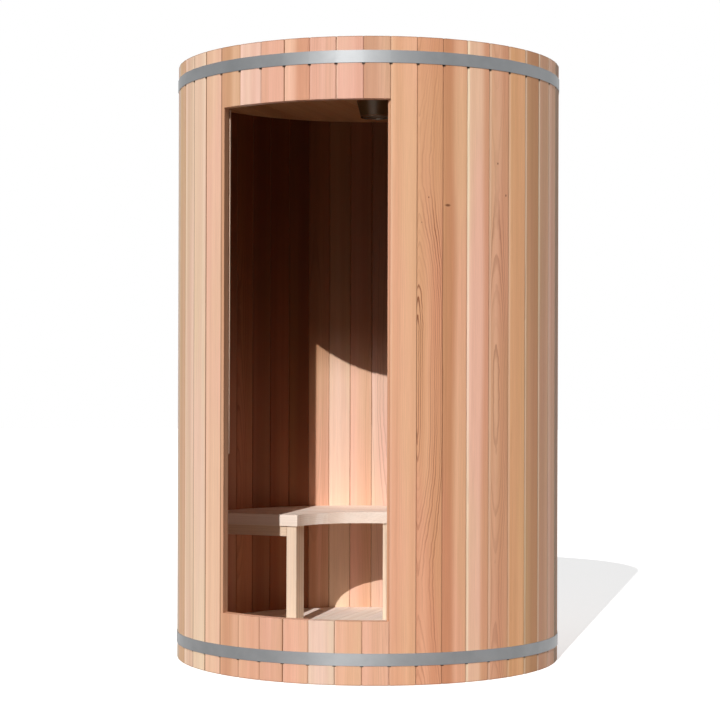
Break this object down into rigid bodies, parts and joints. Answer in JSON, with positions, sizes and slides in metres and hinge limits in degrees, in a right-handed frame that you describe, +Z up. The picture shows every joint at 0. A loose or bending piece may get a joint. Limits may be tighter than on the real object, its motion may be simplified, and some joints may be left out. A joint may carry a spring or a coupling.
{
  "type": "barrel sauna",
  "caption": "Upright barrel sauna: a cylinder of coopered cedar staves held by flat steel hoops, with an open sawn doorway, board floor and ceiling, a horseshoe bench and a ceiling lamp.",
  "frame": {"origin": "on the ground, under the axis of the barrel", "axes": "+Z up along the barrel axis, doorway faces -Y, +X is to the right when facing the doorway"},
  "size_m": [1.3886, 1.3901, 2.134],
  "materials": {
    "stave_cedar": "planed western red cedar, unfinished, from pale pink to brown stave by stave",
    "hoop_steel": "flat stainless band, brushed along its length",
    "floor_wood": "pale planed boards",
    "ceiling_wood": "planed cedar boards",
    "bearer_wood": "rough sawn",
    "bench_wood": "pale planed clear boards",
    "lamp_body": "dark satin paint",
    "lamp_ring": "satin metal ring",
    "lamp_lens": "frosted lens"
  },
  "bodies": {
    "root": {"front_right_staves": "stave_cedar", "right_front_staves": "stave_cedar", "right_middle_staves": "stave_cedar", "right_rear_staves": "stave_cedar", "rear_right_staves": "stave_cedar", "rear_middle_staves": "stave_cedar", "rear_left_staves": "stave_cedar", "left_rear_staves": "stave_cedar", "left_middle_staves": "stave_cedar", "left_front_staves": "stave_cedar", "door_stave": "stave_cedar", "lintel_staves": "stave_cedar", "threshold_staves": "stave_cedar", "top_hoop": "hoop_steel", "bottom_hoop": "hoop_steel", "floor_boards": "floor_wood", "floor_bearers": "bearer_wood", "ceiling_boards": "ceiling_wood", "lamp_body": "lamp_body", "lamp_ring": "lamp_ring", "lamp_lens": "lamp_lens", "seat_arm_left": "bench_wood", "seat_arm_right": "bench_wood", "seat_middle": "bench_wood", "seat_rear": "bench_wood", "seat_back": "bench_wood", "rail_left": "bench_wood", "rail_right": "bench_wood", "front_leg_left": "bench_wood", "front_leg_right": "bench_wood", "back_leg": "bench_wood"}
  },
  "joints": []
}
